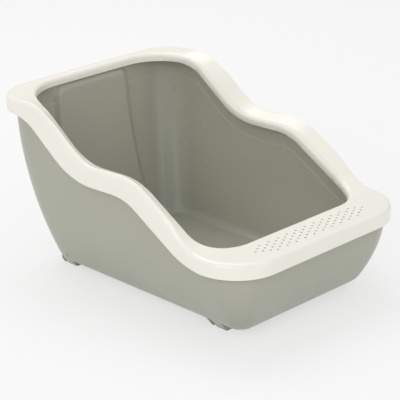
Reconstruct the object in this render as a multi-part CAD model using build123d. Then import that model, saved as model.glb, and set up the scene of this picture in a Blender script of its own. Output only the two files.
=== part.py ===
from build123d import *
import math
import os

# Litter tray: a deep tub with a high back and a low front, and a rim frame that drops over the
# tub's edge and carries a perforated step for the paws. Millimetres, +Z up, the front faces -Y,
# and the origin is on the floor below the middle of the rim's outline.

# Overall sizes
overall_length = 540.0
overall_width = 392.0
overall_height = 290.0

# Side profile of the rim's crest, from the low front over the shoulder to the high back
front_crest_height = 142.5
shoulder_front_height = 215.0
shoulder_back_height = 210.5
back_crest_start_height = 285.0
front_slope_start = -171.0
front_slope_end = -44.0
back_slope_start = 75.0
back_slope_end = 178.0
profile_bend_radius = 110.0

# Plan of the rim frame
rim_front_corner_radius = 76.0
rim_back_corner_radius = 72.0
rim_back_bow = 6.0

# Opening of the rim frame
opening_front = -200.0
opening_back = 245.5
opening_half_width = 165.0
opening_front_corner_radius = 62.0
opening_back_corner_radius = 90.0

# Section of the rim frame
frame_wall = 2.6
skirt_height = 24.0
lip_depth = 13.0
crest_radius = 8.0
inner_roll_radius = 7.0

# Perforated step
hole_diameter = 3.6
hole_pitch = 20.0
hole_row_pitch = 5.6
hole_front_row = -250.0
hole_front_count = 10
hole_rows_to_widest = 3
hole_rows_behind_widest = 2

# Tub
foot_height = 5.0
tub_wall = 3.0
tub_floor = 3.2
tub_bottom_front = -212.0
tub_bottom_back = 190.0
tub_bottom_half_width_front = 130.0
tub_bottom_half_width_back = 124.0
tub_bottom_corner_radius = 46.0
tub_top_corner_radius = 58.0
tub_bottom_edge_radius = 14.0
flare_power = 1.3
wall_inset_side = 13.5
wall_inset_back = 11.0
flange_thickness = 2.6
ledge_drop = 42.0
ledge_depth = 1.3
skirt_clearance = 0.6
seat_clearance = 0.3

# Raised panel in the middle of the back wall
panel_half_width = 76.0
panel_depth = 3.0
panel_bottom_height = 34.0
panel_top_drop = 30.0
panel_corner_radius = 18.0
panel_edge_radius = 8.0

# Feet
foot_lobe_length = 17.0
foot_lobe_width = 20.0
foot_lobe_gap = 7.0
foot_lobe_radius = 5.0
foot_rise = 34.0
front_foot_middle = -176.0
back_foot_middle = 158.0
front_foot_outer = 139.0
back_foot_outer = 131.0

# Derived sizes
half_length = overall_length / 2
half_width = overall_width / 2
cut_reach = overall_length
front_wall_top = front_crest_height - skirt_height
back_wall_top = overall_height - skirt_height
tub_top_half_width = half_width - wall_inset_side
tub_top_front = -half_length + wall_inset_side
tub_top_back = half_length - rim_back_bow - wall_inset_back
seat_drop = frame_wall + seat_clearance


def trapezoid_outline(front, back, half_front, half_back, front_radius, back_radius, back_bow):
    """Rounded outline seen from above, with straight sides and a back edge that bows outwards."""
    edges = [
        Line((-half_front, front), (half_front, front)),
        Line((half_front, front), (half_back, back)),
        ThreePointArc((half_back, back), (0, back + back_bow), (-half_back, back)),
        Line((-half_back, back), (-half_front, front)),
    ]
    face = make_face(Wire(edges))
    corners = face.vertices().sort_by(Axis.Y)
    face = fillet(corners[:2], front_radius)
    corners = [
        vertex
        for vertex in face.vertices()
        if abs(abs(vertex.X) - half_back) < 1e-6 and abs(vertex.Y - back) < 1e-6
    ]
    return fillet(corners, back_radius)


def rim_outline(inset):
    """Outer outline of the rim frame, moved inwards by the inset."""
    return trapezoid_outline(
        -half_length + inset,
        half_length - rim_back_bow - inset,
        half_width - inset,
        half_width - inset,
        rim_front_corner_radius - inset,
        rim_back_corner_radius - inset,
        rim_back_bow,
    )


def opening_outline(outset):
    """Outline of the opening in the rim frame, moved outwards by the outset."""
    return trapezoid_outline(
        opening_front - outset,
        opening_back + outset,
        opening_half_width + outset,
        opening_half_width + outset,
        opening_front_corner_radius + outset,
        opening_back_corner_radius + outset,
        rim_back_bow / 3,
    )


def space_below_crest(drop):
    """Solid that fills the space under the rim's side profile, lowered square to it by the drop."""
    profile = Polyline(
        (-cut_reach, -cut_reach),
        (-cut_reach, front_crest_height),
        (front_slope_start, front_crest_height),
        (front_slope_end, shoulder_front_height),
        (back_slope_start, shoulder_back_height),
        (back_slope_end, back_crest_start_height),
        (half_length, overall_height),
        (cut_reach, overall_height),
        (cut_reach, -cut_reach),
        close=True,
    )
    face = make_face(profile)
    bends = [
        vertex
        for vertex in face.vertices()
        if front_slope_start - 1 < vertex.X < back_slope_end + 1
    ]
    face = fillet(bends, profile_bend_radius)
    if drop > 0:
        face = offset(face, -drop)
    return extrude(Plane.YZ * face, cut_reach / 2, both=True)


def flare(height, wall_top):
    """Share of the wall's outward flare reached at a height, from 0 at the bottom to 1 at the top."""
    share = min((height - foot_height) / (wall_top - foot_height), 1.0)
    return 1 - (1 - share) ** flare_power


def tub_section(height, inset):
    """Outline of the tub at a height, moved inwards by the inset."""
    front_share = flare(height, front_wall_top)
    back_share = flare(height, back_wall_top)
    front = tub_bottom_front + (tub_top_front - tub_bottom_front) * front_share
    back = tub_bottom_back + (tub_top_back - tub_bottom_back) * back_share
    half_front = tub_bottom_half_width_front
    half_front += (tub_top_half_width - tub_bottom_half_width_front) * front_share
    half_back = tub_bottom_half_width_back
    half_back += (tub_top_half_width - tub_bottom_half_width_back) * back_share
    radius_gain = tub_top_corner_radius - tub_bottom_corner_radius
    outline = trapezoid_outline(
        front + inset,
        back - inset,
        half_front - inset,
        half_back - inset,
        tub_bottom_corner_radius + radius_gain * front_share - inset,
        tub_bottom_corner_radius + radius_gain * back_share - inset,
        rim_back_bow * (0.5 + 0.5 * back_share),
    )
    return Pos(0, 0, height) * outline


def tub_body(inset, bottom):
    """Flared body of the tub, moved inwards by the inset, from the bottom up past the rim."""
    heights = [
        bottom,
        front_wall_top * 0.3,
        front_wall_top * 0.6,
        front_wall_top,
        (front_wall_top + back_wall_top) / 2,
        back_wall_top,
        overall_height + skirt_height,
    ]
    return loft([tub_section(height, inset) for height in heights])


def rim_form(inset, drop):
    """The rim's band as a solid block down to the floor, with rounded outer and inner crest edges."""
    block = extrude(rim_outline(inset), overall_height) & space_below_crest(drop)
    block = fillet(crest_edges(block), crest_radius - inset)
    block -= extrude(opening_outline(inset), overall_height)
    return fillet(crest_edges(block, inner=True), inner_roll_radius - inset)


def crest_edges(block, inner=False):
    """Edges of the crest's outer loop, or of the loop round the opening."""
    limit = opening_half_width + frame_wall + 1
    front = opening_front - frame_wall - 1
    back = opening_back + rim_back_bow
    chosen = []
    for edge in block.edges():
        box = edge.bounding_box()
        if box.min.Z < front_wall_top / 2:
            continue
        inside = box.max.X < limit and box.min.X > -limit and box.min.Y > front and box.max.Y < back
        across = box.size.Y < 1 and box.size.X > half_width and abs(edge.center().Y) < opening_back - 20
        if inside == inner and not across:
            chosen.append(edge)
    return chosen


def step_holes():
    """Staggered rows of round holes through the step, each row centred on the step."""
    holes = []
    row_total = hole_rows_to_widest + hole_rows_behind_widest + 1
    for row in range(row_total):
        count = hole_front_count + hole_rows_to_widest - abs(row - hole_rows_to_widest)
        for index in range(count):
            x = (index - (count - 1) / 2) * hole_pitch
            y = hole_front_row + row * hole_row_pitch
            holes.append(Pos(x, y, 0) * Circle(hole_diameter / 2))
    return extrude(Sketch() + holes, overall_height)


def make_rim_frame():
    """Rim frame: a channel open below, with a deep outer skirt, a short inner lip and the step."""
    frame = rim_form(0, 0) - rim_form(frame_wall, frame_wall)
    frame -= space_below_crest(skirt_height)
    lip_space = extrude(opening_outline(frame_wall + seat_clearance), overall_height)
    frame -= lip_space & space_below_crest(lip_depth)
    return frame - step_holes()


def back_panel(grow):
    """Block that sets the middle of the back wall forwards, on the wall's own slope."""
    rise = back_wall_top - foot_height
    run = tub_top_back - tub_bottom_back
    slope_length = math.hypot(rise, run)
    slope_share = rise / slope_length
    start = (panel_bottom_height - foot_height) / slope_share
    end = (overall_height - panel_top_drop - foot_height) / slope_share
    wall_plane = Plane(origin=(0, tub_bottom_back, foot_height), x_dir=(1, 0, 0), z_dir=(0, -rise, run))
    width = 2 * (panel_half_width + grow)
    face = RectangleRounded(width, end - start + 2 * grow, panel_corner_radius + grow)
    outside = wall_inset_side * 2
    block = extrude(Pos(0, (start + end) / 2, -outside) * face, outside + panel_depth + grow)
    front_edges = block.faces().sort_by(Axis.Z)[-1].edges()
    return wall_plane * fillet(front_edges, panel_edge_radius)


def foot(middle, outer, side):
    """One moulded foot: two lobes with a notch between them, standing just outside the wall."""
    lobes = Part()
    for end in (-1, 1):
        along = middle + end * (foot_lobe_length + foot_lobe_gap) / 2
        across = side * (outer - foot_lobe_width / 2)
        face = RectangleRounded(foot_lobe_width, foot_lobe_length, foot_lobe_radius)
        lobes += extrude(Pos(across, along, 0) * face, foot_rise)
    return lobes


def make_tray_tub():
    """Tub: flared walls, a flange under the rim frame, a ledge, a raised back panel and four feet."""
    outside = tub_body(0, foot_height)
    outside = fillet(outside.faces().sort_by(Axis.Z)[0].edges(), tub_bottom_edge_radius)
    outside &= space_below_crest(seat_drop)
    outside -= back_panel(0)
    for side in (-1, 1):
        outside += foot(front_foot_middle, front_foot_outer, side)
        outside += foot(back_foot_middle, back_foot_outer, side)
    flange = extrude(rim_outline(frame_wall + skirt_clearance), overall_height)
    flange &= space_below_crest(seat_drop)
    flange = fillet(crest_edges(flange), crest_radius - frame_wall - skirt_clearance)
    flange -= space_below_crest(seat_drop + flange_thickness)
    inside = tub_body(tub_wall, foot_height + tub_floor)
    inside = fillet(inside.faces().sort_by(Axis.Z)[0].edges(), tub_bottom_edge_radius - tub_wall)
    rebate = tub_body(tub_wall - ledge_depth, foot_height + tub_floor) - space_below_crest(ledge_drop)
    cavity = inside + rebate - back_panel(tub_wall)
    return outside + flange - cavity


os.makedirs("parts", exist_ok=True)
export_step(make_tray_tub(), "parts/tray_tub.step")
export_step(make_rim_frame(), "parts/rim_frame.step")
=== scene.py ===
import bpy
import bmesh
import math
from mathutils import Matrix, Vector
from mathutils.bvhtree import BVHTree


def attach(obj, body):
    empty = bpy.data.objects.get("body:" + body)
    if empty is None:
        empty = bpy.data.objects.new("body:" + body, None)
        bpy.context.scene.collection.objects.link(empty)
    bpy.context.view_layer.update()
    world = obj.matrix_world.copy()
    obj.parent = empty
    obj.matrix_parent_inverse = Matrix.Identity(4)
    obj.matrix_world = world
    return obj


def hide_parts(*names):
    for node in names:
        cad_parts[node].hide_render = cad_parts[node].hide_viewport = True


# Litter tray: the tub is made anew from its sections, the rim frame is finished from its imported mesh,
# and the holes of its step get soft lips. Each moulding has its own plastic. Metres, +Z up, the front
# faces -Y.

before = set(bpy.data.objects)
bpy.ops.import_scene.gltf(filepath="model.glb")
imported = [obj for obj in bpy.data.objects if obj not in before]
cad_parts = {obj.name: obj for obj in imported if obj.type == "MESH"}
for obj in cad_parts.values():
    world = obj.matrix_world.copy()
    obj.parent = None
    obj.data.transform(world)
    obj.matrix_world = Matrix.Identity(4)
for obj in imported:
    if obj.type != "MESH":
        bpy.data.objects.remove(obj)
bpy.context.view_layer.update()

# Camera fitted to the photograph, for the sizes that the tray is taken to have
CAMERA_AZIMUTH = math.radians(-45.24)
CAMERA_ELEVATION = math.radians(21.88)
CAMERA_DISTANCE = 2.5155
CAMERA_AIM_HEIGHT = 0.150
CAMERA_AIM_RIGHT = 0.0011
CAMERA_AIM_UP = -0.0254
CAMERA_LENS = 142.95
CAMERA_SENSOR = 36.0
CAMERA_CLIP_END = 20.0

# Studio
FLOOR_REACH = 6.0
FLOOR_COLOUR = (0.86, 0.86, 0.86)
FLOOR_COLOUR_DULL = (0.85, 0.85, 0.85)
FLOOR_ROUGHNESS = 0.85
FLOOR_SHEEN = 0.1
FLOOR_NOISE_SCALE = 2.0
BACKDROP_COLOUR = (1.0, 1.0, 1.0)
BACKDROP_SHARE = 0.62
SKY_COLOUR = (1.0, 1.0, 1.0)
SKY_STRENGTH = 0.61
LAMP_TARGET = (0.0, 0.0, 0.12)
# Lamps: (name, place, size, watts)
LAMPS = (
    ("key_left", (-2.5, -0.8, 1.5), 1.5, 22),
    ("overhead", (0.45, 1.2, 2.5), 2.0, 27),
    ("front_fill", (0.7, -2.8, 0.8), 1.8, 12),
)

# Plastics: the base, clouded and rubbed colours and the colour of painted shade in creases and holes,
# the smooth and dull roughness, the share that rubbing shows and the depth of the grain
TUB_COLOURS = ((0.42, 0.425, 0.352), (0.405, 0.412, 0.338), (0.46, 0.465, 0.39), (0.20, 0.20, 0.16))
TUB_ROUGHNESS = (0.27, 0.33)
TUB_RUB = 0.12
TUB_GRAIN_DEPTH = 0.00005
FRAME_COLOURS = ((0.90, 0.875, 0.80), (0.885, 0.86, 0.78), (0.88, 0.86, 0.79), (0.30, 0.29, 0.25))
FRAME_ROUGHNESS = (0.22, 0.27)
FRAME_RUB = 0.08
FRAME_GRAIN_DEPTH = 0.00004
PLASTIC_IOR = 1.5
BUMP_STRENGTH = 0.16

# Patterns of the moulded surface, with the stretch of noise that each one shows
CLOUD_SCALE = 9.0
CLOUD_RANGE = (0.3, 0.7)
GRAIN_SCALE = 900.0
RIPPLE_SCALE = 60.0
STREAK_STRETCH = (34.0, 34.0, 3.0)
STREAK_SCALE = 2.2
STREAK_ROUGHNESS = 0.6
STREAK_RANGE = (0.45, 0.85)
PATCH_SCALE = 5.0
PATCH_RANGE = (0.35, 0.75)
CLOUD_DULLING = 0.7
FULL_DULLING = 1.2
# Painted shade: within this reach, ambient occlusion darkens the colour where other surfaces lie near, in
# holes, creases and under the rim
PAINTED_SHADE_REACH = 0.006
PAINTED_SHADE_RANGE = (0.15, 0.75)
PAINTED_SHADE_SAMPLES = 8

# Band of the rim frame: its sides rise from the opening to the outer edge
BAND_RISE_START = 0.168
BAND_RISE_END = 0.190
SKIRT_MIDDLE = 0.1947
SKIRT_HEIGHT = 0.024
BAND_CUT_STEP = 0.008
# Height that the outer edge gains along one side, from the front to the back: (y, rise)
BAND_RISE = (
    (-0.176, 0.0),
    (-0.155, 0.0055),
    (-0.130, 0.0130),
    (-0.075, 0.0145),
    (-0.040, 0.0115),
    (0.0, 0.0090),
    (0.050, 0.0090),
    (0.072, 0.0155),
    (0.092, 0.0205),
    (0.116, 0.0220),
    (0.149, 0.0160),
    (0.174, 0.0095),
    (0.206, 0.0020),
    (0.225, 0.0),
)

# Corners at the back of the rim frame: (side, back, packed radius, radius in the photograph)
RIM_BACK_CORNER = (0.196, 0.264, 0.072, 0.056)
OPENING_BACK_CORNER = (0.165, 0.2455, 0.090, 0.080)
CORNER_PIVOT = 0.050

# Plan of the rim frame: front, back, half widths, corner radii and bow of the back edge
RIM_PLAN = (-0.270, 0.264, 0.196, 0.196, 0.076, 0.056, 0.006)

# Tub, with its plans at the bottom and the top in the same order as the rim frame's
FOOT_HEIGHT = 0.0085
FLOOR_THICKNESS = 0.0032
WALL_THICKNESS = 0.003
FRONT_WALL_TOP = 0.1185
BACK_WALL_TOP = 0.266
TUB_BOTTOM_PLAN = (-0.2205, 0.1985, 0.134, 0.1425, 0.022, 0.050, 0.005)
TUB_TOP_PLAN = (-0.2565, 0.253, 0.1825, 0.1825, 0.050, 0.050, 0.005)
FRONT_FLARE_POWER = 1.9
BACK_FLARE_POWER = 1.8
BOTTOM_EDGE_RADIUS = 0.015
LEDGE_DROP = 0.042
LEDGE_DEPTH = 0.0013
SEAT_DROP = 0.0029
FLANGE_THICKNESS = 0.0026
CREST_SIDE = 0.178
CREST_FRONT = -0.200
CREST_BACK = 0.200
CREST_STEP = 0.002
WALL_MEETS_PASSES = 12

# Rows of the tub's surface
BOTTOM_EDGE_ROWS = 9
WALL_ROWS = 56
# Rows of the ledge: (rise above the shelf, share of the ledge's depth)
LEDGE_ROWS = ((0.0, 0.0), (0.0005, 0.1), (0.0011, 0.5), (0.0017, 0.9), (0.0024, 1.0))
RIM_ROWS = 10
# Rows round the flange's edge: (distance in from the rim frame's outline, drop below its crest)
FLANGE_ROWS = ((0.0041, 0.0055), (0.0037, 0.0053), (0.0044, 0.0042), (0.0056, 0.0033), (0.0080, 0.0029))
# Columns of half the tub, from the middle of the front to the middle of the back
OUTLINE_COLUMNS = (("front", 12), ("front corner", 14), ("side", 84), ("back corner", 16), ("back", 56))

# Panel of the back wall, set forwards
PANEL_HALF_WIDTH = 0.076
PANEL_SPLAY = 0.008
PANEL_DEPTH = 0.007
PANEL_BOTTOM = 0.046
PANEL_TOP = 0.272
PANEL_CORNER_RADIUS = 0.018
PANEL_EDGE_WIDTH = 0.013

# Feet: each fills in the rounded bottom edge, with an upright groove near its rear end
FOOT_LENGTH = 0.033
FOOT_INNER = 0.100
FOOT_INNER_STEPS = 8
FOOT_ROWS = (0.0, 0.0008, 0.0085, 0.0095, 0.011, 0.013, 0.016, 0.019, 0.022, 0.026)
# How much further a foot's top reaches than its pad
FOOT_SPREAD = 0.0215
# The foot reaches as far as the wall does at this height, or at its own height above it, and stands
# this much proud of that at most
FOOT_STEM = 0.018
FOOT_PROUD = 0.0008
# How far the foot's inner side goes into the wall
FOOT_BITE = 0.0016
FOOT_GROOVE_WIDTH = 0.005
FOOT_GROOVE_DEPTH = 0.009
FOOT_FIN_LENGTH = 0.006
FOOT_CORNER_RADIUS = 0.0022
FOOT_CORNER_STEPS = 4
# Feet on one side: (where it starts along the tub, reach of its pad to the side)
FEET = ((-0.183, 0.126), (0.153, 0.1285))

# Perforations of the step
HOLE_RADIUS = 0.0018
HOLE_PITCH = 0.020
HOLE_ROW_PITCH = 0.0056
HOLE_FRONT_ROW = -0.250
HOLE_ROW_COUNTS = (10, 11, 12, 13, 12, 11)
HOLE_LIP_THICKNESS = 0.00035
# Share of a lip's thickness by which it is set out from its hole and down into the step
HOLE_LIP_SET = 0.6
HOLE_LIP_STEPS = 16
HOLE_LIP_SIDES = 6

# Making of the meshes
SHARP_ANGLE = math.radians(38)
MERGE_DISTANCE = 1e-6
CUT_TOLERANCE = 1e-7
NEARLY_ZERO = 1e-6
ABOVE_TRAY = 1.0


def look_axes(azimuth, elevation):
    """Right, up and backward directions of a camera at an azimuth and elevation."""
    back = Vector((
        math.sin(azimuth) * math.cos(elevation),
        -math.cos(azimuth) * math.cos(elevation),
        math.sin(elevation),
    ))
    right = Vector((math.cos(azimuth), math.sin(azimuth), 0.0))
    return right, back.cross(right), back


def add_camera():
    """Camera that sees the tray as the photograph does."""
    right, up, back = look_axes(CAMERA_AZIMUTH, CAMERA_ELEVATION)
    aim = Vector((0.0, 0.0, CAMERA_AIM_HEIGHT)) + right * CAMERA_AIM_RIGHT + up * CAMERA_AIM_UP
    turn = Matrix((right, up, back)).transposed().to_4x4()
    data = bpy.data.cameras.new("photo_camera")
    data.lens = CAMERA_LENS
    data.sensor_width = CAMERA_SENSOR
    data.clip_end = CAMERA_CLIP_END
    camera = bpy.data.objects.new("photo_camera", data)
    camera.matrix_world = Matrix.Translation(aim + back * CAMERA_DISTANCE) @ turn
    bpy.context.scene.collection.objects.link(camera)
    bpy.context.scene.camera = camera


def add_lamp(name, place, size, power):
    """Square soft lamp that faces the tray."""
    data = bpy.data.lights.new(name, "AREA")
    data.shape = "SQUARE"
    data.size = size
    data.energy = power
    lamp = bpy.data.objects.new(name, data)
    lamp.location = place
    lamp.rotation_euler = (Vector(LAMP_TARGET) - Vector(place)).to_track_quat("-Z", "Y").to_euler()
    bpy.context.scene.collection.objects.link(lamp)


def add_studio():
    """Pale floor, even sky and soft lamps: one high on the left, one overhead and one low in front."""
    mesh = bpy.data.meshes.new("floor")
    corners = [(x, y, 0.0) for x, y in ((-1, -1), (1, -1), (1, 1), (-1, 1))]
    mesh.from_pydata([Vector(corner) * FLOOR_REACH for corner in corners], [], [(0, 1, 2, 3)])
    floor = bpy.data.objects.new("floor", mesh)
    bpy.context.scene.collection.objects.link(floor)
    mesh.materials.append(floor_paper())
    for name, place, size, power in LAMPS:
        add_lamp(name, place, size, power)
    world = bpy.data.worlds.new("studio")
    world.use_nodes = True
    sky = world.node_tree.nodes["Background"]
    sky.inputs["Color"].default_value = (*SKY_COLOUR, 1.0)
    sky.inputs["Strength"].default_value = SKY_STRENGTH
    bpy.context.scene.world = world


# Materials


def socket(group, name, kind, direction, value=None):
    """Named input or output of a node group."""
    made = group.interface.new_socket(name=name, in_out=direction, socket_type=kind)
    if value is not None:
        made.default_value = value


def node(tree, kind, **settings):
    """Node of a kind, with its own settings."""
    made = tree.nodes.new(kind)
    for name, value in settings.items():
        setattr(made, name, value)
    return made


def noise(tree, vector, scale, detail, roughness=0.5):
    """Noise texture over a vector."""
    made = node(tree, "ShaderNodeTexNoise")
    made.inputs["Scale"].default_value = scale
    made.inputs["Detail"].default_value = detail
    made.inputs["Roughness"].default_value = roughness
    tree.links.new(vector, made.inputs["Vector"])
    return made.outputs["Fac"]


def spread(tree, value, low, high, to_low=0.0, to_high=1.0):
    """Value stretched from one range to another, held at the ends."""
    made = node(tree, "ShaderNodeMapRange", clamp=True)
    made.inputs["From Min"].default_value = low
    made.inputs["From Max"].default_value = high
    made.inputs["To Min"].default_value = to_low
    made.inputs["To Max"].default_value = to_high
    tree.links.new(value, made.inputs["Value"])
    return made.outputs["Result"]


def reckon(tree, operation, first, second):
    """Math node on two sockets or numbers."""
    made = node(tree, "ShaderNodeMath", operation=operation)
    for index, value in enumerate((first, second)):
        if isinstance(value, (int, float)):
            made.inputs[index].default_value = value
        else:
            tree.links.new(value, made.inputs[index])
    return made.outputs[0]


def blend_colours(tree, share, first, second):
    """Colour between two colour sockets."""
    made = node(tree, "ShaderNodeMix", data_type="RGBA")
    tree.links.new(share, made.inputs["Factor"])
    tree.links.new(first, made.inputs["A"])
    tree.links.new(second, made.inputs["B"])
    return made.outputs["Result"]


def moulded_plastic_group():
    """Moulded surface: slight clouding, rubbed streaks, painted shade in creases and holes, fine grain and
    a ripple.
    """
    group = bpy.data.node_groups.new("moulded_plastic_surface", "ShaderNodeTree")
    socket(group, "Colour", "NodeSocketColor", "INPUT")
    socket(group, "Clouded Colour", "NodeSocketColor", "INPUT")
    socket(group, "Rubbed Colour", "NodeSocketColor", "INPUT")
    socket(group, "Painted Shade Colour", "NodeSocketColor", "INPUT")
    socket(group, "Smooth Roughness", "NodeSocketFloat", "INPUT", 0.3)
    socket(group, "Dull Roughness", "NodeSocketFloat", "INPUT", 0.4)
    socket(group, "Rub Amount", "NodeSocketFloat", "INPUT", 0.2)
    socket(group, "Colour", "NodeSocketColor", "OUTPUT")
    socket(group, "Roughness", "NodeSocketFloat", "OUTPUT")
    socket(group, "Height", "NodeSocketFloat", "OUTPUT")
    given = node(group, "NodeGroupInput")
    result = node(group, "NodeGroupOutput")
    place = node(group, "ShaderNodeTexCoord").outputs["Object"]
    clouds = spread(group, noise(group, place, CLOUD_SCALE, 3.0), *CLOUD_RANGE)
    grain = noise(group, place, GRAIN_SCALE, 2.0)
    ripple = noise(group, place, RIPPLE_SCALE, 2.0)
    stretch = node(group, "ShaderNodeMapping")
    stretch.inputs["Scale"].default_value = STREAK_STRETCH
    group.links.new(place, stretch.inputs["Vector"])
    streaks = noise(group, stretch.outputs["Vector"], STREAK_SCALE, 4.0, STREAK_ROUGHNESS)
    streaks = spread(group, streaks, *STREAK_RANGE)
    patches = spread(group, noise(group, place, PATCH_SCALE, 2.0), *PATCH_RANGE)
    rubbed = reckon(group, "MULTIPLY", streaks, patches)
    rubbed = reckon(group, "MULTIPLY", rubbed, given.outputs["Rub Amount"])
    clouded = blend_colours(group, clouds, given.outputs["Colour"], given.outputs["Clouded Colour"])
    coloured = blend_colours(group, rubbed, clouded, given.outputs["Rubbed Colour"])
    # Painted shade: the colour darkens towards the painted shade colour where ambient occlusion finds
    # surfaces near
    nearness = node(group, "ShaderNodeAmbientOcclusion", samples=PAINTED_SHADE_SAMPLES)
    nearness.inputs["Distance"].default_value = PAINTED_SHADE_REACH
    painted_shade = spread(group, nearness.outputs["AO"], *PAINTED_SHADE_RANGE, 1.0, 0.0)
    coloured = blend_colours(group, painted_shade, coloured, given.outputs["Painted Shade Colour"])
    dulling = reckon(group, "ADD", reckon(group, "MULTIPLY", clouds, CLOUD_DULLING), rubbed)
    dulling = spread(group, dulling, 0.0, FULL_DULLING)
    smooth = given.outputs["Smooth Roughness"]
    difference = reckon(group, "SUBTRACT", given.outputs["Dull Roughness"], smooth)
    roughness = reckon(group, "ADD", smooth, reckon(group, "MULTIPLY", difference, dulling))
    half_grain = reckon(group, "MULTIPLY", grain, 0.5)
    half_ripple = reckon(group, "MULTIPLY", ripple, 0.5)
    height = reckon(group, "ADD", half_grain, half_ripple)
    group.links.new(coloured, result.inputs["Colour"])
    group.links.new(roughness, result.inputs["Roughness"])
    group.links.new(height, result.inputs["Height"])
    return group


def moulded_material(name, group, colours, roughness, rub, grain_depth):
    """Plastic of one moulding, from its base, clouded and rubbed colours and the colour of its painted
    shade.
    """
    material = bpy.data.materials.new(name)
    material.use_nodes = True
    tree = material.node_tree
    shader = tree.nodes["Principled BSDF"]
    surface = node(tree, "ShaderNodeGroup", node_tree=group)
    labels = ("Colour", "Clouded Colour", "Rubbed Colour", "Painted Shade Colour")
    for label, colour in zip(labels, colours):
        surface.inputs[label].default_value = (*colour, 1.0)
    surface.inputs["Smooth Roughness"].default_value = roughness[0]
    surface.inputs["Dull Roughness"].default_value = roughness[1]
    surface.inputs["Rub Amount"].default_value = rub
    bump = node(tree, "ShaderNodeBump")
    bump.inputs["Strength"].default_value = BUMP_STRENGTH
    bump.inputs["Distance"].default_value = grain_depth
    tree.links.new(surface.outputs["Colour"], shader.inputs["Base Color"])
    tree.links.new(surface.outputs["Roughness"], shader.inputs["Roughness"])
    tree.links.new(surface.outputs["Height"], bump.inputs["Height"])
    tree.links.new(bump.outputs["Normal"], shader.inputs["Normal"])
    shader.inputs["IOR"].default_value = PLASTIC_IOR
    return material


def floor_paper():
    """Pale backdrop paper, partly glowing for the camera and in reflections, so its shadow is weak."""
    material = bpy.data.materials.new("floor_paper")
    material.use_nodes = True
    tree = material.node_tree
    shader = tree.nodes["Principled BSDF"]
    shader.inputs["Roughness"].default_value = FLOOR_ROUGHNESS
    shader.inputs["Specular IOR Level"].default_value = FLOOR_SHEEN
    place = node(tree, "ShaderNodeTexCoord").outputs["Object"]
    paper = node(tree, "ShaderNodeMix", data_type="RGBA")
    paper.inputs["A"].default_value = (*FLOOR_COLOUR, 1.0)
    paper.inputs["B"].default_value = (*FLOOR_COLOUR_DULL, 1.0)
    tree.links.new(noise(tree, place, FLOOR_NOISE_SCALE, 2.0), paper.inputs["Factor"])
    tree.links.new(paper.outputs["Result"], shader.inputs["Base Color"])
    even = node(tree, "ShaderNodeEmission")
    even.inputs["Color"].default_value = (*BACKDROP_COLOUR, 1.0)
    rays = node(tree, "ShaderNodeLightPath")
    seen = reckon(tree, "MAXIMUM", rays.outputs["Is Camera Ray"], rays.outputs["Is Glossy Ray"])
    seen = reckon(tree, "MAXIMUM", seen, rays.outputs["Is Transmission Ray"])
    mix = node(tree, "ShaderNodeMixShader")
    tree.links.new(reckon(tree, "MULTIPLY", seen, BACKDROP_SHARE), mix.inputs["Fac"])
    tree.links.new(shader.outputs["BSDF"], mix.inputs[1])
    tree.links.new(even.outputs["Emission"], mix.inputs[2])
    tree.links.new(mix.outputs["Shader"], tree.nodes["Material Output"].inputs["Surface"])
    return material


# Rim frame


def height_from_above(shape, x, y):
    """Height of the highest surface of a shape over a place."""
    return shape.ray_cast(Vector((x, y, ABOVE_TRAY)), Vector((0, 0, -1)))[0].z


def smooth_value(stations, at):
    """Value at a place between stations, on a curve through each that is smooth; zero beyond them."""
    if at <= stations[0][0] or at >= stations[-1][0]:
        return 0.0
    index = max(number for number, station in enumerate(stations) if station[0] <= at)
    before = stations[max(index - 1, 0)]
    start = stations[index]
    end = stations[index + 1]
    after = stations[min(index + 2, len(stations) - 1)]
    span = end[0] - start[0]
    leave = (end[1] - before[1]) / (end[0] - before[0]) * span
    arrive = (after[1] - start[1]) / (after[0] - start[0]) * span
    share = (at - start[0]) / span
    return (
        start[1] * (2 * share**3 - 3 * share**2 + 1)
        + leave * (share**3 - 2 * share**2 + share)
        + end[1] * (3 * share**2 - 2 * share**3)
        + arrive * (share**3 - share**2)
    )


def merged_copy(source):
    """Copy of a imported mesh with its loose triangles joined."""
    form = bmesh.new()
    form.from_mesh(source.data)
    bmesh.ops.remove_doubles(form, verts=form.verts, dist=MERGE_DISTANCE)
    return form


def corner_reach(way, corner, radius):
    """Distance from the pivot to a rounded corner's outline, along a direction."""
    side, back = corner
    back -= CORNER_PIVOT
    reach = min(side / max(way.x, NEARLY_ZERO), back / max(way.y, NEARLY_ZERO))
    centre = Vector((side - radius, back - radius))
    hit = way * reach
    if hit.x <= centre.x or hit.y <= centre.y:
        return reach
    along = way.dot(centre)
    return along + math.sqrt(max(along**2 - centre.length_squared + radius**2, 0.0))


def tighten_back_corners(form):
    """Moves the rim's back corners out to the photograph's radii."""
    for vertex in form.verts:
        place = Vector((abs(vertex.co.x), vertex.co.y - CORNER_PIVOT))
        if place.y <= 0 or place.length < NEARLY_ZERO:
            continue
        way = place.normalized()
        inner, new_inner = (
            corner_reach(way, OPENING_BACK_CORNER[:2], radius) for radius in OPENING_BACK_CORNER[2:]
        )
        outer, new_outer = (
            corner_reach(way, RIM_BACK_CORNER[:2], radius) for radius in RIM_BACK_CORNER[2:]
        )
        share = (place.length - inner) / (outer - inner)
        moved = way * (new_inner + (new_outer - new_inner) * share)
        vertex.co.x = math.copysign(min(moved.x, RIM_BACK_CORNER[0]), vertex.co.x)
        vertex.co.y = moved.y + CORNER_PIVOT


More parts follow.
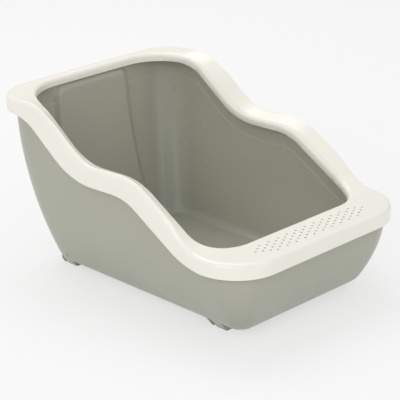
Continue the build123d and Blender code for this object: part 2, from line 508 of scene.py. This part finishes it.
def raise_band(form):
    """Lifts the outer edge of the rim's sides, so that the band dips towards the opening."""
    cuts = int((BAND_RISE[-1][0] - BAND_RISE[0][0]) / BAND_CUT_STEP)
    for number in range(cuts + 1):
        bmesh.ops.bisect_plane(
            form,
            geom=form.verts[:] + form.edges[:] + form.faces[:],
            dist=CUT_TOLERANCE,
            plane_co=(0.0, BAND_RISE[0][0] + number * BAND_CUT_STEP, 0.0),
            plane_no=(0.0, 1.0, 0.0),
        )
    bmesh.ops.triangulate(form, faces=form.faces)
    shape = BVHTree.FromBMesh(form)
    band_middle = (BAND_RISE_START + BAND_RISE_END) / 2
    lifts = []
    for vertex in form.verts:
        x, y, z = vertex.co
        rise = smooth_value(BAND_RISE, y)
        across = min(max((abs(x) - BAND_RISE_START) / (BAND_RISE_END - BAND_RISE_START), 0.0), 1.0)
        if rise * across <= 0.0:
            continue
        crest = height_from_above(shape, band_middle, y)
        hem = shape.ray_cast(Vector((SKIRT_MIDDLE, y, 0.0)), Vector((0, 0, 1)))[0]
        foot = hem.z if hem else crest - SKIRT_HEIGHT
        up = min(max((z - foot) / (crest - foot), 0.0), 1.0)
        lifts.append((vertex, rise * across * up))
    for vertex, lift in lifts:
        vertex.co.z += lift


def finish_mesh(form, name, material, body):
    """Object from a mesh form, smooth but for its real edges, that rides on a body."""
    mesh = bpy.data.meshes.new(name)
    form.to_mesh(mesh)
    form.free()
    mesh.materials.append(material)
    mesh.shade_smooth()
    mesh.set_sharp_from_angle(angle=SHARP_ANGLE)
    piece = bpy.data.objects.new(name, mesh)
    bpy.context.scene.collection.objects.link(piece)
    weighting = piece.modifiers.new("even_shading", "WEIGHTED_NORMAL")
    weighting.mode = "FACE_AREA"
    weighting.keep_sharp = True
    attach(piece, body)
    return piece


def finish_rim_frame(material):
    """Rim frame with tighter back corners and the dip of its band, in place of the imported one."""
    form = merged_copy(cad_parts["rim_frame"])
    tighten_back_corners(form)
    raise_band(form)
    piece = finish_mesh(form, "rim_frame_finished", material, "frame")
    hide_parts("rim_frame")
    return piece


# Tub


def between(first, second, share):
    """Value part of the way from one to another."""
    return first + (second - first) * share


def flare(height, wall_top, power):
    """Share of the wall's outward flare reached at a height."""
    share = min((height - FOOT_HEIGHT) / (wall_top - FOOT_HEIGHT), 1.0)
    return 1 - (1 - share) ** power


def tub_plan(height):
    """Plan of the tub at a height: its front follows the low wall's flare, its back the high wall's."""
    front_share = flare(height, FRONT_WALL_TOP, FRONT_FLARE_POWER)
    back_share = flare(height, BACK_WALL_TOP, BACK_FLARE_POWER)
    shares = (front_share, back_share, front_share, back_share, front_share, back_share, back_share)
    return [between(*values) for values in zip(TUB_BOTTOM_PLAN, TUB_TOP_PLAN, shares)]


def outline_point(plan, inset, column):
    """Point of half an outline with rounded corners, moved inwards by the inset."""
    front, back, half_front, half_back, front_radius, back_radius, bow = plan
    front += inset
    back -= inset
    half_front -= inset
    half_back -= inset
    front_radius -= inset
    back_radius -= inset
    part, share = column
    along = Vector((half_back - half_front, back - front)).normalized()
    turn = math.atan2(along.y, along.x)
    last_turn = math.pi - math.atan(2 * bow / half_back)
    front_cut = front_radius * math.tan(turn / 2)
    back_cut = back_radius * math.tan((last_turn - turn) / 2)
    corner_start = half_front - front_cut
    if part == "front":
        return Vector((corner_start * share, front))
    if part == "front corner":
        angle = turn * share
        return Vector((corner_start, front + front_radius)) + Vector(
            (math.sin(angle), -math.cos(angle))
        ) * front_radius
    side_start = Vector((half_front, front)) + along * front_cut
    side_end = Vector((half_back, back)) - along * back_cut
    if part == "side":
        return side_start.lerp(side_end, share)
    centre = side_end + Vector((-along.y, along.x)) * back_radius
    angle = between(turn, last_turn, share if part == "back corner" else 1.0)
    edge = centre + Vector((math.sin(angle), -math.cos(angle))) * back_radius
    if part == "back corner":
        return edge
    return Vector((edge.x * (1 - share), between(edge.y, back + bow, 1 - (1 - share) ** 2)))


def outline_columns():
    """Columns of half an outline, each with its part of the outline and its share along it."""
    columns = []
    for part, count in OUTLINE_COLUMNS:
        columns += [(part, index / count) for index in range(count)]
    return columns + [("back", 1.0)]


def crest_line(rim_form):
    """Heights of the rim frame's crest along one side, at even steps from the front to the back."""
    shape = BVHTree.FromBMesh(rim_form)
    steps = round((CREST_BACK - CREST_FRONT) / CREST_STEP)
    return [
        height_from_above(shape, CREST_SIDE, CREST_FRONT + index * CREST_STEP)
        for index in range(steps + 1)
    ]


def lowered_line(heights, drop):
    """The crest line moved square to itself downwards by a drop."""
    reach = int(drop / CREST_STEP)
    lowered = []
    for index in range(len(heights)):
        near = range(max(index - reach, 0), min(index + reach, len(heights) - 1) + 1)
        lowered.append(min(
            heights[other] - math.sqrt(drop**2 - ((other - index) * CREST_STEP) ** 2) for other in near
        ))
    return lowered


def line_height(heights, along):
    """Height of a line at a place along the tub, level beyond its ends."""
    last = len(heights) - 1
    place = min(max((along - CREST_FRONT) / CREST_STEP, 0.0), last)
    index = min(int(place), last - 1)
    return between(heights[index], heights[index + 1], place - index)


def panel_offset(x, height):
    """How far the back wall is set forwards at a place."""
    half_height = (PANEL_TOP - PANEL_BOTTOM) / 2
    half_width = PANEL_HALF_WIDTH + PANEL_SPLAY * (PANEL_TOP - height) / (PANEL_TOP - PANEL_BOTTOM)
    beyond_side = abs(x) - half_width + PANEL_CORNER_RADIUS
    beyond_end = abs(height - (PANEL_TOP + PANEL_BOTTOM) / 2) - half_height + PANEL_CORNER_RADIUS
    outside = math.hypot(max(beyond_side, 0.0), max(beyond_end, 0.0))
    distance = outside + min(max(beyond_side, beyond_end), 0.0) - PANEL_CORNER_RADIUS
    share = min(max(0.5 - distance / PANEL_EDGE_WIDTH, 0.0), 1.0)
    return PANEL_DEPTH * share * share * (3 - 2 * share)


def wall_point(height, inset, column):
    """Point of the tub's wall at a height, with the back panel, across which the ledge fades out."""
    x, y = outline_point(tub_plan(height), inset, column)
    if column[0] == "back":
        forwards = panel_offset(x, height)
        y -= forwards
        if 0 < inset < WALL_THICKNESS:
            y -= (WALL_THICKNESS - inset) * forwards / PANEL_DEPTH
    return Vector((x, y, height))


def wall_meets(line, drop, inset, column):
    """Height at which a column of the wall reaches a line along the rim, less a drop."""
    height = BACK_WALL_TOP
    for _ in range(WALL_MEETS_PASSES):
        height = line_height(line, outline_point(tub_plan(height), inset, column).y) - drop
    return height


def bottom_edge(radius, floor, inset, column):
    """Points round the tub's bottom edge, from the floor to the wall."""
    points = []
    for row in range(BOTTOM_EDGE_ROWS + 1):
        angle = math.pi / 2 * row / BOTTOM_EDGE_ROWS
        height = floor + radius * (1 - math.cos(angle))
        x, y = outline_point(tub_plan(height), inset + radius * (1 - math.sin(angle)), column)
        points.append(Vector((x, y, height)))
    return points


def tub_column(column, crest, ledge):
    """Points of the tub's surface up the outside, round the flange and down the inside."""
    points = bottom_edge(BOTTOM_EDGE_RADIUS, FOOT_HEIGHT, 0.0, column)
    start = points[-1].z
    top = wall_meets(crest, SEAT_DROP + FLANGE_THICKNESS, 0.0, column)
    for row in range(1, WALL_ROWS + 1):
        points.append(wall_point(between(start, top, row / WALL_ROWS), 0.0, column))
    for inset, drop in FLANGE_ROWS:
        x, y = outline_point(RIM_PLAN, inset, column)
        points.append(Vector((x, y, line_height(crest, y) - drop)))
    inside = bottom_edge(
        BOTTOM_EDGE_RADIUS - WALL_THICKNESS, FOOT_HEIGHT + FLOOR_THICKNESS, WALL_THICKNESS, column
    )
    start = inside[-1].z
    shelf = wall_meets(ledge, 0.0, WALL_THICKNESS, column)
    for row in range(1, WALL_ROWS):
        inside.append(wall_point(between(start, shelf, row / WALL_ROWS), WALL_THICKNESS, column))
    for rise, share in LEDGE_ROWS:
        inside.append(wall_point(shelf + rise, WALL_THICKNESS - LEDGE_DEPTH * share, column))
    start = inside[-1].z
    top = wall_meets(crest, SEAT_DROP, WALL_THICKNESS - LEDGE_DEPTH, column)
    for row in range(1, RIM_ROWS + 1):
        height = between(start, top, row / RIM_ROWS)
        inside.append(wall_point(height, WALL_THICKNESS - LEDGE_DEPTH, column))
    return points + inside[::-1]


def tub_form():
    """Closed surface of the tub without its feet."""
    rim_form = merged_copy(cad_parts["rim_frame"])
    crest = crest_line(rim_form)
    rim_form.free()
    ledge = lowered_line(crest, LEDGE_DROP)
    half = [tub_column(column, crest, ledge) for column in outline_columns()]
    mirrored = [[Vector((-p.x, p.y, p.z)) for p in points] for points in half[-2:0:-1]]
    form = bmesh.new()
    loops = [[form.verts.new(point) for point in points] for points in half + mirrored]
    for index, points in enumerate(loops):
        after = loops[(index + 1) % len(loops)]
        for row in range(len(points) - 1):
            form.faces.new((points[row], after[row], after[row + 1], points[row + 1]))
    form.faces.new([points[0] for points in loops][::-1])
    form.faces.new([points[-1] for points in loops])
    return form


def rounded_corner(before, corner, after, radius):
    """Points round one corner of a flat outline."""
    start = corner + (before - corner).normalized() * radius
    end = corner + (after - corner).normalized() * radius
    points = []
    for step in range(FOOT_CORNER_STEPS + 1):
        share = step / FOOT_CORNER_STEPS
        points.append(start.lerp(corner, share).lerp(corner.lerp(end, share), share))
    return points


def wall_side(height, along):
    """How far the tub's outside reaches sideways at a height and a place along it, near the bottom."""
    front, back, half_front, half_back, front_radius, back_radius, _ = tub_plan(height)
    reach = between(half_front, half_back, (along - front) / (back - front))
    into_corner = max(along - back + back_radius, front + front_radius - along, 0.0)
    radius = back_radius if along > 0 else front_radius
    reach -= radius - math.sqrt(max(radius**2 - into_corner**2, 0.0))
    up = min((height - FOOT_HEIGHT) / BOTTOM_EDGE_RADIUS, 1.0)
    return reach - BOTTOM_EDGE_RADIUS * (1 - math.sqrt(1 - (1 - up) ** 2))


def foot_outline(outer, start, height):
    """Plan of a foot: a block with a groove that leaves a thin fin at its rear."""
    groove_start = FOOT_LENGTH - FOOT_FIN_LENGTH - FOOT_GROOVE_WIDTH
    groove_end = FOOT_LENGTH - FOOT_FIN_LENGTH
    corners = [
        Vector(place)
        for place in (
            (FOOT_INNER, 0.0),
            (outer, 0.0),
            (outer, groove_start),
            (outer - FOOT_GROOVE_DEPTH, groove_start),
            (outer - FOOT_GROOVE_DEPTH, groove_end),
            (outer, groove_end),
            (outer, FOOT_LENGTH),
            (FOOT_INNER, FOOT_LENGTH),
        )
    ]
    points = []
    for index in range(1, len(corners) - 1):
        points += rounded_corner(corners[index - 1], corners[index], corners[index + 1], FOOT_CORNER_RADIUS)
    for step in range(FOOT_INNER_STEPS + 1):
        points.append(Vector((FOOT_INNER, FOOT_LENGTH * (1 - step / FOOT_INNER_STEPS))))
    for point in points:
        point.x = min(point.x, wall_side(max(height, FOOT_STEM), start + point.y) + FOOT_PROUD)
        if height >= FOOT_HEIGHT:
            point.x = max(point.x, wall_side(height, start + point.y) - FOOT_BITE)
    return points


def add_foot(form, start, outer, side):
    """Adds one foot, leaning outwards to the wall, to the tub's form."""
    loops = []
    for height in FOOT_ROWS:
        reach = outer + FOOT_SPREAD * height / FOOT_ROWS[-1]
        points = foot_outline(reach, start, height)
        loops.append([form.verts.new((side * x, start + y, height)) for x, y in points])
    faces = []
    for lower, upper in zip(loops, loops[1:]):
        for index in range(len(lower)):
            after = (index + 1) % len(lower)
            faces.append(form.faces.new((lower[index], lower[after], upper[after], upper[index])))
    faces.append(form.faces.new(loops[0]))
    faces.append(form.faces.new(loops[-1]))
    bmesh.ops.recalc_face_normals(form, faces=faces)


def finish_tub(material):
    """Tub with its flared wall, flange, ledge, back panel and feet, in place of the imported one."""
    form = tub_form()
    bmesh.ops.recalc_face_normals(form, faces=form.faces)
    for start, outer in FEET:
        for side in (-1, 1):
            add_foot(form, start, outer, side)
    piece = finish_mesh(form, "tray_tub_finished", material, "tub")
    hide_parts("tray_tub")


# Perforation lips


def hole_lip_tree(material):
    """Geometry nodes that set a thin rounded lip round each point of a mesh."""
    tree = bpy.data.node_groups.new("perforation_lips", "GeometryNodeTree")
    socket(tree, "Geometry", "NodeSocketGeometry", "INPUT")
    socket(tree, "Hole Radius", "NodeSocketFloat", "INPUT", HOLE_RADIUS)
    socket(tree, "Lip Thickness", "NodeSocketFloat", "INPUT", HOLE_LIP_THICKNESS)
    socket(tree, "Steps Round", "NodeSocketInt", "INPUT", HOLE_LIP_STEPS)
    socket(tree, "Lip Sides", "NodeSocketInt", "INPUT", HOLE_LIP_SIDES)
    socket(tree, "Geometry", "NodeSocketGeometry", "OUTPUT")
    given = node(tree, "NodeGroupInput")
    result = node(tree, "NodeGroupOutput")
    ring = node(tree, "GeometryNodeCurvePrimitiveCircle")
    section = node(tree, "GeometryNodeCurvePrimitiveCircle")
    lip = node(tree, "GeometryNodeCurveToMesh")
    points = node(tree, "GeometryNodeMeshToPoints")
    copies = node(tree, "GeometryNodeInstanceOnPoints")
    real = node(tree, "GeometryNodeRealizeInstances")
    paint = node(tree, "GeometryNodeSetMaterial")
    paint.inputs["Material"].default_value = material
    tree.links.new(given.outputs["Hole Radius"], ring.inputs["Radius"])
    tree.links.new(given.outputs["Steps Round"], ring.inputs["Resolution"])
    tree.links.new(given.outputs["Lip Thickness"], section.inputs["Radius"])
    tree.links.new(given.outputs["Lip Sides"], section.inputs["Resolution"])
    tree.links.new(ring.outputs["Curve"], lip.inputs["Curve"])
    tree.links.new(section.outputs["Curve"], lip.inputs["Profile Curve"])
    tree.links.new(given.outputs["Geometry"], points.inputs["Mesh"])
    tree.links.new(points.outputs["Points"], copies.inputs["Points"])
    tree.links.new(lip.outputs["Mesh"], copies.inputs["Instance"])
    tree.links.new(copies.outputs["Instances"], real.inputs["Geometry"])
    tree.links.new(real.outputs["Geometry"], paint.inputs["Geometry"])
    tree.links.new(paint.outputs["Geometry"], result.inputs["Geometry"])
    return tree


def hole_centres(height):
    """Centres of the step's holes, in staggered rows that each lie evenly about the middle."""
    centres = []
    for row, count in enumerate(HOLE_ROW_COUNTS):
        for index in range(count):
            x = (index - (count - 1) / 2) * HOLE_PITCH
            centres.append((x, HOLE_FRONT_ROW + row * HOLE_ROW_PITCH, height))
    return centres


def add_hole_lips(rim, material):
    """Soft edges of the perforations, made by geometry nodes and kept as a plain mesh.

    The step's height is taken at a place clear of the holes, between its first two rows.
    """
    surface = BVHTree.FromObject(rim, bpy.context.evaluated_depsgraph_get())
    clear_x = HOLE_PITCH / 4
    clear_y = HOLE_FRONT_ROW + HOLE_ROW_PITCH / 2
    top = height_from_above(surface, clear_x, clear_y)
    lip_set = HOLE_LIP_THICKNESS * HOLE_LIP_SET
    mesh = bpy.data.meshes.new("perforation_points")
    mesh.from_pydata(hole_centres(top - lip_set), [], [])
    maker = bpy.data.objects.new("perforation_points", mesh)
    bpy.context.scene.collection.objects.link(maker)
    tree = hole_lip_tree(material)
    nodes = maker.modifiers.new("perforation_lips", "NODES")
    nodes.node_group = tree
    names = {item.name: item.identifier for item in tree.interface.items_tree if item.in_out == "INPUT"}
    nodes[names["Hole Radius"]] = HOLE_RADIUS + lip_set
    nodes[names["Lip Thickness"]] = HOLE_LIP_THICKNESS
    nodes[names["Steps Round"]] = HOLE_LIP_STEPS
    nodes[names["Lip Sides"]] = HOLE_LIP_SIDES
    evaluated = maker.evaluated_get(bpy.context.evaluated_depsgraph_get())
    made = bpy.data.meshes.new_from_object(evaluated)
    bpy.data.objects.remove(maker)
    made.name = "perforation_lips"
    made.shade_smooth()
    piece = bpy.data.objects.new("perforation_lips", made)
    bpy.context.scene.collection.objects.link(piece)
    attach(piece, "frame")


add_camera()
add_studio()
bpy.context.scene.view_settings.view_transform = "Standard"

plastic_surface = moulded_plastic_group()
tub_plastic = moulded_material(
    "tub_grey_green", plastic_surface, TUB_COLOURS, TUB_ROUGHNESS, TUB_RUB, TUB_GRAIN_DEPTH
)
frame_plastic = moulded_material(
    "frame_warm_white", plastic_surface, FRAME_COLOURS, FRAME_ROUGHNESS, FRAME_RUB, FRAME_GRAIN_DEPTH
)
finish_tub(tub_plastic)
rim = finish_rim_frame(frame_plastic)
add_hole_lips(rim, frame_plastic)
